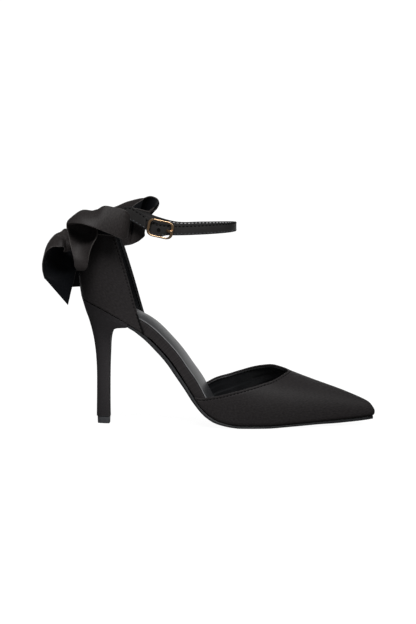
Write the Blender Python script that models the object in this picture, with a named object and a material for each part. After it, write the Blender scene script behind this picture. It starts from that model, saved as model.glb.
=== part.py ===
"""High-heeled shoe: a pointed pump with open waist, ankle strap, buckle and a ribbon bow behind the heel.

A right shoe. Sizes are in millimetres in the shoe's own frame: x runs from the back of the heel
to the toe, y towards the inner side of the foot, z up from the floor.
"""
import math

import bmesh
import bpy
import numpy as np

MM = 0.001              # metres in one millimetre
GAP = 0.3               # clearance between neighbouring pieces

# Driving sizes
LENGTH = 231.3          # back of the heel to the tip of the toe
OUTSOLE = 2.2           # thickness of the leather outsole
OUTSOLE_SHORT = 1.6     # how far the outsole stops behind the tip of the toe
OUTSOLE_TIP = 1.4       # half width it ends with
OUTSOLE_INSET = 1.0     # how far its edge lies inside the last's outline under the forefoot
WAIST_INSET = 0.9       # and under the waist
WAIST_CROWN = 2.8       # how far the outsole swells under the waist
WAIST = (37, 118)       # where that swelling starts and ends
WAIST_BLEND = 12        # length over which it grows
FOREFOOT = (88, 112)    # where the waist turns into the forefoot
VAMP_WALL = 1.6
COUNTER_WALL = 1.8
FEATHER_INSET = 1.5     # how far the upper tucks in where it meets the sole
WAIST_TUCK = 1.2        # height over the sole at which it stands out furthest, at its wings
FOREFOOT_TUCK = 3.4     # and round the forefoot
LAST_ROUNDNESS = 2.2    # power of the forefoot's cross section, two for an ellipse
VAMP_SPREAD = 3.5       # how late the vamp's columns fan out, from upright at the wings to the point of the toe
TOE_LINES = (140, 185)  # where the vamp's columns turn from upright to straight lines over the toe
INSOLE_ENDS = (4, 222)
SOCK_ENDS = (6, 205)
SOCK_INSET = 0.8        # how far the sock stays inside the insole's edge
SOCK = 1.0              # thickness of the sock lining
STRAP = 1.6             # thickness of the ankle strap
RIBBON = 1.2            # thickness of the bow's doubled ribbon
HEEL_SEAT_END = 38.3    # where the heel's breast meets the outsole
HEEL_LEDGE = 0.6        # how far the heel's back stands out at its seat
HEEL_ROUNDNESS = 0.85   # below one, the heel's breast is flatter than a half round
TOP_LIFT = 5.5          # height of the heel's tip


def table(columns, *rows):
    """Rows of sizes under named columns."""
    return dict(zip(columns.split(), np.array(rows, float).T))


# Widest outline of the last, each side of its middle line, which swings inwards at the toe
LAST = table(
    "x     lateral medial swing",
    (0,    0,     0,     0),
    (8,    18.8,  18.8,  0),
    (20,   25.0,  25.0,  0),
    (32,   26.5,  26.3,  0),
    (50,   24.3,  23.8,  0),
    (70,   22.5,  21.0,  0),
    (90,   28.0,  26.5,  0),
    (110,  35.0,  32.0,  0),
    (128,  38.0,  34.0,  0),
    (145,  37.0,  33.0,  0.3),
    (165,  31.0,  28.0,  1.0),
    (185,  23.5,  21.5,  1.8),
    (205,  15.0,  14.0,  2.8),
    (220,  8.3,   7.8,   3.5),
    (228,  4.3,   4.1,   3.9),
    (LENGTH, 0,   0,     4.0))

# Height of the heel seat and of the outsole's upper face: seat, arch, ball, toe spring
BASE = table(
    "x     z",
    (0,    99.8), (16,   93.0), (32,   84.4), (40,   79.5), (50,   73.0), (61,   62.3),
    (70.8, 51.2), (78.8, 39.8), (85.3, 30.6), (90.2, 23.0), (98.4, 12.8), (106,  7.2),
    (115.5, 3.8), (126,  OUTSOLE), (150, OUTSOLE), (164, 2.9), (185, 4.0), (205, 5.1),
    (225,  6.4), (232,  7.2))

# Height of the last's ridge over the forefoot and toe
RIDGE = table(
    "x     z",
    (84,   31.0), (88,   36.0), (96,   47.0), (102,  54.0), (110,  60.0), (118,  62.0),
    (126,  60.5), (136,  55.5), (145,  51.2), (154,  47.2), (163,  43.4), (183,  35.8),
    (204.7, 28.0), (215, 23.8), (221.3, 21.0), (226.8, 17.8), (230, 13.8), (LENGTH, 10.7))

# Vamp topline, from the outer wing round the throat to the inner wing
# share is the part of the half width there, outer side negative
TOPLINE = table(
    "share  x",
    (-0.9995, 90.8), (-0.968, 102), (-0.947, 115), (-0.90, 130), (-0.81, 143), (-0.68, 153),
    (-0.44, 160), (-0.10, 163), (0.19, 159.2), (0.37, 151), (0.56, 143.3), (0.70, 135),
    (0.80, 126.5), (0.865, 115), (0.898, 100), (0.995, 87.5))

# Counter: rise runs from the heel seat to the top edge, narrow scales its width
COUNTER = table(
    "rise  back  front narrow",
    (0,    -0.8, 50.2, 1.00),
    (0.12, -2.0, 45.6, 1.02),
    (0.25, -2.6, 42.4, 1.02),
    (0.40, -2.2, 40.0, 1.00),
    (0.60, 0.0,  34.5, 0.95),
    (0.80, 4.0,  28.6, 0.90),
    (1.00, 8.0,  23.0, 0.86))
COUNTER_TOP_BACK = 163.0
COUNTER_TOP_FRONT = 167.0

# Insole: inset from the last's outline and thickness along the foot
INSOLE = table(
    "x     inset thick",
    (4,    6.0,  6.0),
    (12,   4.0,  6.0),
    (30,   3.0,  6.5),
    (50.5, 3.0,  8.0),
    (55,   0.5,  8.2),
    (74,   0.5,  8.2),
    (87,   2.8,  8.0),
    (97,   4.0,  6.0),
    (110,  4.2,  3.6),
    (200,  4.2,  3.2),
    (222,  4.3,  2.6))

# Heel sections from the seat down to the tip
HEEL = table(
    "back_x back_z front_x front_z half",
    (1.1,   94.5,  37.2,   78.2,   25.0),
    (3.0,   88.5,  33.0,   77.6,   22.4),
    (5.0,   83.0,  28.0,   76.8,   18.8),
    (6.7,   77.0,  24.6,   74.6,   15.0),
    (8.1,   71.0,  23.0,   71.0,   11.8),
    (9.2,   65.0,  22.3,   65.5,   9.4),
    (10.4,  55.0,  22.0,   55.0,   7.1),
    (11.1,  42.0,  21.7,   42.0,   5.6),
    (11.4,  25.0,  21.6,   25.0,   5.0),
    (11.4,  8.0,   21.7,   8.0,    4.9),
    (11.4,  5.8,   21.9,   5.8,    5.1))
LIFT = table(
    "back_x back_z front_x front_z half",
    (12.1,  TOP_LIFT, 21.5, TOP_LIFT, 4.5),
    (12.3,  0.0,   21.3,   0.0,    4.3))

# Ankle strap: its middle line from above, with the heights of its two edges
STRAP_FRONT = table(
    "x     y      top    low",
    (46.0, -22.6, 168.0, 159.8),
    (54.5, -25.2, 163.8, 154.9),
    (64.0, -27.9, 160.7, 152.0),
    (74.5, -29.0, 159.5, 151.8),
    (94.0, -27.0, 159.9, 152.3),
    (109,  -20.0, 160.4, 152.8),
    (118,  -10.0, 160.5, 153.0),
    (121,  0.0,   160.4, 153.0),
    (118,  10.0,  160.0, 152.5),
    (109,  19.0,  159.3, 151.5),
    (92.0, 26.0,  158.5, 150.3),
    (72.0, 28.5,  158.3, 149.8),
    (57.0, 27.5,  162.2, 151.2),
    (46.0, 25.0,  166.6, 155.6),
    (37.0, 23.4,  169.8, 159.0),
    (26.0, 23.7,  166.5, 155.7),
    (17.0, 25.2,  162.5, 151.7))
STRAP_REAR = table(
    "x     y      top    low",
    (17.0, -25.2, 164.5, 153.5),
    (26.0, -23.9, 169.0, 157.7),
    (33.0, -23.4, 172.3, 160.9),
    (39.0, -23.7, 173.8, 162.3),
    (46.0, -24.9, 170.5, 159.2),
    (52.4, -26.9, 166.7, 155.8))

# Buckle: a rounded frame lying on the strap
BUCKLE_HEEL_END = (54.0, -28.0, 158.6)
BUCKLE_TOE_END = (73.9, -31.3, 154.6)
BUCKLE_LENGTH = 21.3
BUCKLE_HEIGHT = 14.8
BUCKLE_CORNER = 4.2
BUCKLE_WIRE = 1.0       # radius of the frame's wire
PRONG = 0.7             # radius of the prong at its root
PRONG_START = 3.4       # prong's root, from the middle of the frame towards the toe
PRONG_RISE = 2.2        # length over which it climbs to the bar
PRONG_TIP = 1.3         # how far it passes the bar

# Bow: each row gives a ribbon's two edges, and how far its middle bulges between them
LOOP_NEAR = table(
    "ax    ay     az     bx     by     bz     bulge",
    (-1.0, -8.6,  163.0, -1.0,  -8.6,  151.0, 0),
    (10.0, -25.6, 170.0, 10.0,  -26.0, 152.0, 0),
    (25.0, -29.6, 172.6, 26.0,  -31.4, 151.0, 0),
    (39.4, -33.5, 168.0, 36.6,  -36.5, 149.5, 1),
    (38.6, -37.5, 170.3, 33.8,  -40.5, 149.6, 1.5),
    (27.0, -39.0, 172.8, 23.5,  -43.5, 154.0, 2),
    (14.0, -37.5, 171.4, 11.4,  -44.0, 159.0, 2),
    (2.0,  -32.5, 171.2, 2.0,   -42.0, 161.6, 2),
    (-5.6, -26.5, 165.8, -6.0,  -36.0, 161.8, 1),
    (-10.4, -22.0, 160.6, -10.4, -29.0, 160.4, 0))
DROP_NEAR = table(
    "ax    ay     az     bx     by     bz     bulge",
    (-10.2, -23.2, 158.6, 14.0, -35.0, 161.0, -6),
    (-8.8, -27.5, 152.0, 15.0,  -37.0, 153.0, -6),
    (-7.2, -30.5, 145.0, 12.0,  -37.8, 146.0, -5),
    (-5.3, -33.5, 137.0, 9.0,   -37.0, 138.5, -2),
    (-3.8, -35.5, 130.0, 7.4,   -36.5, 131.0, 1),
    (-1.0, -35.5, 125.5, 4.6,   -35.5, 125.3, 1),
    (-1.0, -31.5, 126.0, 4.4,   -31.5, 126.0, 0),
    (-3.0, -28.5, 134.0, 7.0,   -29.5, 134.0, 0),
    (-4.0, -21.0, 144.0, 8.0,   -25.5, 145.0, 0),
    (-4.5, -9.0,  148.4, 1.0,   -10.4, 148.0, 0))
LOOP_FAR = table(
    "ax    ay     az     bx     by     bz     bulge",
    (-1.0, 8.6,   163.0, -1.0,  8.6,   150.0, 0),
    (14.0, 27.4,  167.5, 13.0,  27.8,  147.0, 0),
    (30.0, 29.5,  171.4, 28.0,  29.5,  139.2, 0),
    (43.0, 31.5,  169.5, 38.0,  31.5,  139.0, 0),
    (53.5, 35.0,  168.0, 43.0,  34.0,  142.0, 2),
    (57.8, 39.4,  172.0, 45.5,  38.0,  143.0, 5),
    (53.5, 43.0,  175.6, 43.0,  42.0,  143.0, 2),
    (42.0, 43.0,  174.8, 33.0,  42.5,  142.0, -1),
    (28.0, 38.5,  171.0, 22.0,  38.0,  144.0, -1),
    (11.0, 32.0,  166.8, 9.0,   31.5,  147.0, 0),
    (-5.0, 9.4,   163.0, -5.0,  9.4,   151.0, 0))
TAIL_NEAR = table(
    "ax    ay     az     bx     by     bz     bulge",
    (-9.0, -9.0,  142.0, -10.4, 1.0,   154.0, -1),
    (-14.0, -18.0, 140.6, -15.5, 8.0,  151.5, -4),
    (-21.0, -20.5, 141.4, -17.0, 14.0, 147.5, -6),
    (-27.0, -19.5, 137.0, -14.0, 18.5, 141.5, -7),
    (-29.9, -17.0, 129.5, -9.0, 18.0,  134.0, -5),
    (-30.6, -14.0, 123.0, -6.0,  12.0, 125.5, -2),
    (-30.2, -11.4, 118.6, -5.8,  5.0,  116.5, 0),
    (-29.9, -10.6, 117.4, -8.0,  2.0,  106.5, 1),
    (-29.6, -10.0, 116.6, -11.6, 0.0,  94.2,  0))
TAIL_FAR = table(
    "ax    ay     az     bx     by     bz     bulge",
    (-6.0, 3.0,   145.5, -1.5,  12.0,  147.0, 0),
    (-6.6, 10.0,  138.0, 0.5,   24.0,  140.0, 0),
    (-6.6, 19.5,  126.0, 3.5,   31.0,  127.0, 0),
    (-7.6, 17.0,  115.0, 2.0,   31.0,  117.0, 0),
    (-9.3, 13.0,  106.6, 0.0,   29.5,  106.0, 0))

# Knot: sections up its height, about its own middle line
KNOT_X = -3.0
KNOT = table(
    "z      deep  wide",
    (145.6, 2.0,  4.5),
    (147.4, 4.4,  6.6),
    (150.5, 5.6,  7.4),
    (154.5, 6.0,  7.8),
    (158.5, 5.6,  7.4),
    (161.6, 4.4,  6.6),
    (163.4, 2.0,  4.5))

# Finishes: colour, roughness, metallic
SATIN = ((0.022, 0.020, 0.020), 0.42, 0.0)
LEATHER = ((0.020, 0.020, 0.021), 0.45, 0.0)
SOCK_LEATHER = ((0.075, 0.075, 0.078), 0.35, 0.0)
SOLE_LEATHER = ((0.012, 0.012, 0.012), 0.5, 0.0)
TIP_RUBBER = ((0.03, 0.03, 0.031), 0.6, 0.0)
GOLD = ((0.83, 0.60, 0.30), 0.22, 1.0)


# Curves through the tables

def smooth(at, knots, values):
    """Cubic curve through values at the knots, with each slope taken from the neighbouring knots."""
    knots = np.asarray(knots, float)
    values = np.asarray(values, float)
    at = np.clip(np.asarray(at, float), knots[0], knots[-1])
    slopes = np.gradient(values, knots, axis=0)
    left = np.clip(np.searchsorted(knots, at, side="right") - 1, 0, len(knots) - 2)
    span = knots[left + 1] - knots[left]
    t = (at - knots[left]) / span
    if values.ndim > 1:
        span = span[..., None]
        t = t[..., None]
    start = (1 + 2 * t) * (1 - t) ** 2 * values[left] + t * (1 - t) ** 2 * span * slopes[left]
    end = t * t * (3 - 2 * t) * values[left + 1] - t * t * (1 - t) * span * slopes[left + 1]
    return start + end


def round_ends(x):
    """Place along the last, spread out near heel and toe so that the outline closes in a round."""
    return np.arccos(1 - 2 * np.clip(np.asarray(x, float) / LENGTH, 0, 1)) / math.pi


def along_last(share):
    """The inverse of round_ends."""
    return LENGTH * (1 - np.cos(math.pi * np.asarray(share, float))) / 2


def stations_between(start, end, count):
    """Places along the last from start to end, closer together near heel and toe."""
    return along_last(np.linspace(round_ends(start), round_ends(end), count))


def fade(x, start, end):
    """Nought before start, one after end."""
    return np.clip((x - start) / (end - start), 0, 1)


def half_width(x, side):
    """Half width of the last at x, on its outer side (negative) or its inner side."""
    outer = smooth(round_ends(x), round_ends(LAST["x"]), LAST["lateral"])
    inner = smooth(round_ends(x), round_ends(LAST["x"]), LAST["medial"])
    return np.maximum(np.where(np.asarray(side) < 0, outer, inner), 0)


def swing(x):
    return smooth(x, LAST["x"], LAST["swing"])


def base(x):
    """Height of the outsole's upper face and of the heel seat."""
    return np.maximum(smooth(x, BASE["x"], BASE["z"]), OUTSOLE)


def base_normal(x):
    """Direction away from the sole at x, in the plane of the foot."""
    step = 0.5
    slope = (base(x + step) - base(x - step)) / (2 * step)
    size = np.sqrt(1 + slope ** 2)
    return -slope / size, 1 / size


# Meshes

def closed_mesh(name, vertices, faces):
    """A mesh object from points in millimetres, with its faces turned outwards."""
    mesh = bpy.data.meshes.new(name)
    build = bmesh.new()
    made = [build.verts.new(np.asarray(point) * MM) for point in vertices]
    for face in faces:
        build.faces.new([made[index] for index in face])
    bmesh.ops.recalc_face_normals(build, faces=build.faces)
    build.to_mesh(mesh)
    build.free()
    mesh.shade_smooth()
    mesh.set_sharp_from_angle(angle=math.radians(40))
    part = bpy.data.objects.new(name, mesh)
    bpy.context.scene.collection.objects.link(part)
    return part


def shell(name, outer, inner):
    """Solid between two grids of points, closed round their four borders."""
    rows, columns = outer.shape[:2]
    vertices = np.concatenate([outer.reshape(-1, 3), inner.reshape(-1, 3)])
    back = rows * columns
    faces = []
    for row in range(rows - 1):
        for column in range(columns - 1):
            a = row * columns + column
            quad = (a, a + 1, a + columns + 1, a + columns)
            faces.append(quad)
            faces.append(tuple(back + index for index in reversed(quad)))
    border = [column for column in range(columns)]
    border += [row * columns + columns - 1 for row in range(1, rows)]
    border += [(rows - 1) * columns + column for column in range(columns - 2, -1, -1)]
    border += [row * columns for row in range(rows - 2, 0, -1)]
    for here, there in zip(border, border[1:] + border[:1]):
        faces.append((here, there, back + there, back + here))
    return closed_mesh(name, vertices, faces)


def loft(name, rings, closed=False):
    """Solid through rings of points, capped at both ends or joined round into a ring."""
    count, sides = rings.shape[:2]
    vertices = rings.reshape(-1, 3)
    faces = []
    for ring in range(count if closed else count - 1):
        below = ring * sides
        above = (ring + 1) % count * sides
        for side in range(sides):
            following = (side + 1) % sides
            faces.append((below + side, below + following, above + following, above + side))
    if not closed:
        faces.append(tuple(range(sides)))
        faces.append(tuple(range((count - 1) * sides, count * sides)))
    return closed_mesh(name, vertices, faces)


def grid_normals(grid):
    """Unit normals of a grid of points."""
    along = np.gradient(grid, axis=0)
    across = np.gradient(grid, axis=1)
    normals = np.cross(along, across)
    return normals / np.linalg.norm(normals, axis=2, keepdims=True)


def finish(part, look):
    """Give a part its own material."""
    colour, roughness, metallic = look
    material = bpy.data.materials.new(part.name)
    material.use_nodes = True
    shader = material.node_tree.nodes["Principled BSDF"]
    shader.inputs["Base Color"].default_value = (*colour, 1)
    shader.inputs["Roughness"].default_value = roughness
    shader.inputs["Metallic"].default_value = metallic
    part.data.materials.append(material)
    return part


# Sole

def plate(stations, half, low, high, across):
    """Grids of the lower and upper face of a layer that follows the sole."""
    shares = np.linspace(-1, 1, across)
    x = stations[:, None] + 0 * shares[None, :]
    y = swing(x) + shares[None, :] * half(x, shares[None, :] + 0 * x)
    ahead, up = base_normal(x)
    faces = []
    for level in (low(x, shares[None, :]), high(x, shares[None, :])):
        faces.append(np.stack([x + ahead * level, y, base(x) + up * level], axis=2))
    return faces


def outsole():
    """Leather sole from the heel's breast to the toe, swollen a little under the waist."""
    end = LENGTH - OUTSOLE_SHORT
    stations = stations_between(HEEL_SEAT_END + GAP, end, 36)

    def half(x, side):
        inset = WAIST_INSET + (OUTSOLE_INSET - WAIST_INSET) * fade(x, *FOREFOOT)
        return np.maximum(half_width(x * LENGTH / end, side) - inset, OUTSOLE_TIP)

    def low(x, share):
        waist = fade(x, WAIST[0], WAIST[0] + WAIST_BLEND) * (1 - fade(x, WAIST[1] - WAIST_BLEND, WAIST[1]))
        return -OUTSOLE - WAIST_CROWN * waist * (1 - share ** 2)

    def high(x, share):
        return -GAP / 2 + 0 * x * share
    return finish(shell("outsole", *plate(stations, half, low, high, 7)), SOLE_LEATHER)


def insole_half(x, side, extra=0.0):
    return half_width(x, side) - smooth(x, INSOLE["x"], INSOLE["inset"]) - extra


def insole_top(x):
    return smooth(x, INSOLE["x"], INSOLE["thick"])


def insole():
    """Board the upper is lasted to, which shows its wrapped edge at the open waist."""
    return finish(shell("insole", *plate(
        stations_between(*INSOLE_ENDS, 44), insole_half, lambda x, share: GAP + 0 * x * share,
        lambda x, share: GAP + insole_top(x) + 0 * share, 5)), SATIN)


def sock_lining():
    """Leather sock on top of the insole."""
    floor = 2 * GAP
    return finish(shell("sock_lining", *plate(
        stations_between(*SOCK_ENDS, 36), lambda x, side: insole_half(x, side, SOCK_INSET),
        lambda x, share: floor + insole_top(x) + 0 * share,
        lambda x, share: floor + SOCK + insole_top(x) + 0 * share, 5)), SOCK_LEATHER)


# Upper

def tuck(x):
    """Height above the sole at which the upper stands out furthest."""
    return WAIST_TUCK + (FOREFOOT_TUCK - WAIST_TUCK) * fade(x, *FOREFOOT)


def last_top(x, y):
    """Height of the last over the forefoot."""
    side = y - swing(x)
    share = np.clip(np.abs(side) / np.maximum(half_width(x, side), 0.01), 0, 1)
    foot = base(x) + tuck(x)
    ridge = smooth(round_ends(x), round_ends(RIDGE["x"]), RIDGE["z"])
    return foot + (ridge - foot) * (1 - share ** LAST_ROUNDNESS) ** (1 / LAST_ROUNDNESS)


def vamp_grid(columns, dome_rows):
    """Outer face of the vamp: columns run from the inner wing round the toe to the outer wing, rows upwards."""
    middle = columns // 2
    side = np.where(np.arange(columns) < middle, -1.0, 1.0)
    knots = np.arange(len(TOPLINE["x"]), dtype=float)
    throat = np.argmax(TOPLINE["x"])
    place = np.concatenate([np.linspace(0, throat, middle + 1), np.linspace(throat, knots[-1], middle + 1)[1:]])
    top_x = smooth(place, knots, TOPLINE["x"])
    top_share = smooth(place, knots, TOPLINE["share"])
    top_y = swing(top_x) + top_share * half_width(top_x, top_share)

    reach = np.where(place < throat, place / throat, (knots[-1] - place) / (knots[-1] - throat))
    feather_x = along_last(round_ends(top_x) + (1 - round_ends(top_x[middle])) * reach ** VAMP_SPREAD)
    feather_y = swing(feather_x) + side * half_width(feather_x, side)
    feather_y[middle] = swing(LENGTH)

    tangent = np.stack([np.gradient(feather_x), np.gradient(feather_y)], axis=1)
    tangent /= np.linalg.norm(tangent, axis=1, keepdims=True)
    inwards = np.stack([-tangent[:, 1], tangent[:, 0]], axis=1)
    toe_pull = fade(feather_x, *TOE_LINES)
    toe_pull = toe_pull * toe_pull * (3 - 2 * toe_pull)
    rows = []
    roll_rows = 3
    crowding = 1.7          # rows lie closer near the sole, where the wall is steep
    for step in range(roll_rows):
        turn = step / roll_rows * math.pi / 2
        inset = FEATHER_INSET * (1 - math.sin(turn))
        lift = 1 - math.cos(turn)
        x = feather_x + inwards[:, 0] * inset
        y = feather_y + inwards[:, 1] * inset
        rows.append(np.stack([x, y, base(x) + GAP + (tuck(x) - GAP) * lift], axis=1))
    for share in np.linspace(0, 1, dome_rows) ** crowding:
        x = feather_x + (top_x - feather_x) * share
        wall_share = side + (top_share - side) * share
        wall_y = swing(x) + wall_share * half_width(x, side)
        line_y = feather_y + (top_y - feather_y) * share
        y = wall_y + (line_y - wall_y) * toe_pull
        rows.append(np.stack([x, y, last_top(x, y)], axis=1))
    return np.array(rows)[:, ::-1]


def walled(name, outer, wall):
    """Hollow piece: the outer face, and an inner face one wall inside it that stands on the same sole."""
    inwards = -grid_normals(outer)
    inner = outer + wall * inwards
    rim = inwards[0, :, :2]
    rim = rim / np.linalg.norm(rim, axis=1, keepdims=True)
    inner[0, :, :2] = outer[0, :, :2] + wall * rim
    inner[0, :, 2] = base(inner[0, :, 0]) + GAP
    return shell(name, outer, inner)


def vamp():
    """Pointed front of the upper, open at the throat and underneath."""
    return finish(walled("vamp", vamp_grid(53, 9), VAMP_WALL), SATIN)


def counter_grid(columns, rows):
    """Outer face of the counter: columns run round the heel, rows from the seat up to the top edge."""
    turn = half_turn(columns)
    along = 1 - np.cos(turn)
    side = np.sign(turn)
    foot_x = COUNTER["front"][0] * along
    foot_z = base(foot_x) + GAP
    top_z = COUNTER_TOP_BACK + (COUNTER_TOP_FRONT - COUNTER_TOP_BACK) * along
    grid = []
    for rise in np.linspace(0, 1, rows):
        back = smooth(rise, COUNTER["rise"], COUNTER["back"])
        front = smooth(rise, COUNTER["rise"], COUNTER["front"])
        narrow = smooth(rise, COUNTER["rise"], COUNTER["narrow"])
        x = back + (front - back) * along
        y = side * half_width(foot_x, side) * narrow
        grid.append(np.stack([x, y, foot_z + (top_z - foot_z) * rise], axis=1))
    return np.array(grid)


def counter():
    """Back of the upper, open in front, above and underneath."""
    return finish(walled("counter", counter_grid(33, 13), COUNTER_WALL), SATIN)


# Heel

def half_turn(sides=25):
    """Angles round the back of the heel, from its outer side to its inner side."""
    return np.linspace(-math.pi / 2, math.pi / 2, sides)


def heel_ring(back_x, back_z, front_x, front_z, half):
    """Section of the heel: round behind, nearly flat across its breast."""
    turn = half_turn()
    along = 1 - np.cos(turn)
    x = back_x + (front_x - back_x) * along
    y = half * np.sign(turn) * np.abs(np.sin(turn)) ** HEEL_ROUNDNESS
    z = back_z + (front_z - back_z) * along
    return np.stack([x, y, z], axis=1)


def heel():
    """Stiletto heel, from the seat down to its tip."""
    turn = half_turn()
    seat_x = HEEL_SEAT_END * (1 - np.cos(turn))
    seat_y = np.sign(turn) * np.maximum(half_width(seat_x, turn) - GAP, 0)
    rings = [np.stack([seat_x - HEEL_LEDGE * np.cos(turn), seat_y, base(seat_x)], axis=1)]
    for section in zip(*HEEL.values()):
        rings.append(heel_ring(*section))
    return finish(loft("heel", np.array(rings)), SATIN)


def top_lift():
    """Replaceable tip under the heel."""
    rings = [heel_ring(*section) for section in zip(*LIFT.values())]
    return finish(loft("top_lift", np.array(rings)), TIP_RUBBER)


# Strap and buckle

def follow(rows, columns, count):
    """Points on a smooth curve through rows, spaced along its length."""
    knots_at = np.stack([rows[column] for column in columns], axis=1)
    steps = np.linalg.norm(np.diff(knots_at[:, :3], axis=0), axis=1)
    knots = np.concatenate([[0], np.cumsum(steps)])
    return smooth(np.linspace(0, knots[-1], count), knots, knots_at)


def strap(name, rows, count):
    """Flat strap on edge, through its rows."""
    line = follow(rows, ("x", "y", "top", "low"), count)
    upper = line[:, :3]
    lower = line[:, (0, 1, 3)]
    middle = np.stack([upper, lower], axis=1)
    normals = grid_normals(middle)
    return finish(shell(name, middle + normals * STRAP / 2, middle - normals * STRAP / 2), LEATHER)


def buckle_axes():
    """Middle of the buckle and its directions: towards the toe, up, and out from the ankle."""
    heel_end = np.array(BUCKLE_HEEL_END)
    toe_end = np.array(BUCKLE_TOE_END)
    ahead = (toe_end - heel_end) / np.linalg.norm(toe_end - heel_end)
    out = np.cross(ahead, (0, 0, 1))
    out /= np.linalg.norm(out)
    return (heel_end + toe_end) / 2, ahead, np.cross(out, ahead), out


def tube(name, path, radii, closed=False):
    """Round bar of given radii along a path."""
    sides = 8
    path = np.asarray(path)
    if closed:
        ahead = np.roll(path, -1, axis=0) - np.roll(path, 1, axis=0)
    else:
        ahead = np.gradient(path, axis=0)
    ahead /= np.linalg.norm(ahead, axis=1, keepdims=True)
    out = buckle_axes()[3]
    rings = []
    for point, direction, radius in zip(path, ahead, radii):
        first = out - direction * (out @ direction)
        first /= np.linalg.norm(first)
        second = np.cross(direction, first)
        turn = np.linspace(0, 2 * math.pi, sides, endpoint=False)[:, None]
        rings.append(point + radius * (np.cos(turn) * first + np.sin(turn) * second))
    return finish(loft(name, np.array(rings), closed), GOLD)


def buckle_frame():
    """Rounded rectangular frame of round wire."""
    middle, ahead, up, _ = buckle_axes()
    reach_x = BUCKLE_LENGTH / 2 - BUCKLE_WIRE - BUCKLE_CORNER
    reach_y = BUCKLE_HEIGHT / 2 - BUCKLE_WIRE - BUCKLE_CORNER
    path = []
    for corner, (x, y) in enumerate(((1, 1), (-1, 1), (-1, -1), (1, -1))):
        for step in range(5):
            turn = (corner + step / 4) * math.pi / 2
            path.append(middle + ahead * (x * reach_x + BUCKLE_CORNER * math.cos(turn))
                        + up * (y * reach_y + BUCKLE_CORNER * math.sin(turn)))
    return tube("buckle_frame", path, [BUCKLE_WIRE] * len(path), closed=True)


def buckle_prong():
    """Prong that lies on the strap and rests its tip on the frame's toe bar."""
    middle, ahead, _, out = buckle_axes()
    bar = BUCKLE_LENGTH / 2 - BUCKLE_WIRE
    over = BUCKLE_WIRE + PRONG + GAP
    places = ((PRONG_START, 0.1 * over, PRONG),
              (PRONG_START + PRONG_RISE, 0.75 * over, PRONG),
              (bar, over, 0.9 * PRONG),
              (bar + PRONG_TIP, 0.95 * over, 0.55 * PRONG))
    path = [middle + ahead * along + out * lift for along, lift, _ in places]
    return tube("buckle_prong", path, [radius for _, _, radius in places])


# Bow

def ribbon_grid(rows, count, across):
    """Middle surface of a ribbon through rows of its two edges."""
    line = follow(rows, ("ax", "ay", "az", "bx", "by", "bz", "bulge"), count)
    share = np.linspace(0, 1, across)[None, :, None]
    flat = line[:, None, 0:3] * (1 - share) + line[:, None, 3:6] * share
    bulge = line[:, None, 6:7] * 4 * share * (1 - share)
    return flat + grid_normals(flat) * bulge


def ribbon(name, rows, count, across=6):
    """Sheet of doubled ribbon."""
    middle = ribbon_grid(rows, count, across)
    normals = grid_normals(middle)
    return finish(shell(name, middle + normals * RIBBON / 2, middle - normals * RIBBON / 2), SATIN)


def bow_knot():
    """Wrapped middle of the bow, on the back of the counter."""
    turn = np.linspace(0, 2 * math.pi, 20, endpoint=False)
    rings = []
    for z, deep, wide in zip(*KNOT.values()):
        rings.append(np.stack([KNOT_X + deep * np.cos(turn), wide * np.sin(turn), z + 0 * turn], axis=1))
    return finish(loft("bow_knot", np.array(rings)), SATIN)


def stand_on_origin(parts):
    """Put the middle of the whole shoe's footprint over the origin, under one parent."""
    points = np.array([vertex.co for part in parts for vertex in part.data.vertices])
    low = points.min(axis=0)
    high = points.max(axis=0)
    parent = bpy.data.objects.new("shoe", None)
    parent.location = (-(low[0] + high[0]) / 2, -(low[1] + high[1]) / 2, -low[2])
    bpy.context.scene.collection.objects.link(parent)
    for part in parts:
        part.parent = parent


def main():
    for old in list(bpy.data.objects):
        bpy.data.objects.remove(old)
    stand_on_origin([
        outsole(), insole(), sock_lining(), vamp(), counter(), heel(), top_lift(),
        strap("strap_front", STRAP_FRONT, 56), strap("strap_rear", STRAP_REAR, 14),
        buckle_frame(), buckle_prong(), bow_knot(),
        ribbon("bow_loop_near", LOOP_NEAR, 30), ribbon("bow_drop_near", DROP_NEAR, 30),
        ribbon("bow_loop_far", LOOP_FAR, 34), ribbon("bow_tail_near", TAIL_NEAR, 24),
        ribbon("bow_tail_far", TAIL_FAR, 12)])


main()
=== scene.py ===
"""Looks of the high-heeled shoe: satin upper and heel, leather strap, gold buckle and a ribbon bow.

Sizes are in millimetres in the shoe's own frame: x runs from the back of the heel to the toe,
y towards the inner side of the foot, z up from the floor.
"""
import math

import bpy
import numpy as np
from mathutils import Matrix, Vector


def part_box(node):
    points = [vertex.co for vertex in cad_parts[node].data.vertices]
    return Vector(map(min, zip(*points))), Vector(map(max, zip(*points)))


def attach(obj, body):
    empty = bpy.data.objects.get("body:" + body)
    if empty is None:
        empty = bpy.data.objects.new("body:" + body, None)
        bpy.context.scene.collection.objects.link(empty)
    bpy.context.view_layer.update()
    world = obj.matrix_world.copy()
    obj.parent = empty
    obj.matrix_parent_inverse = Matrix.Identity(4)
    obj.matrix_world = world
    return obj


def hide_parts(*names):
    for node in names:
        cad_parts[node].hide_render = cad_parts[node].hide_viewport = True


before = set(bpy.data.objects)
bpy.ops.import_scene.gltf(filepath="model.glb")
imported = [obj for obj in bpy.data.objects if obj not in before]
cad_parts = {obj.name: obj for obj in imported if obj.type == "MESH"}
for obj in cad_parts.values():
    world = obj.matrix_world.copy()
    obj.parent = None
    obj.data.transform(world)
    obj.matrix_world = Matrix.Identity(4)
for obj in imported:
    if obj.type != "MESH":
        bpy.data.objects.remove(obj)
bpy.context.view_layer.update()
scene = bpy.context.scene

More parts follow.
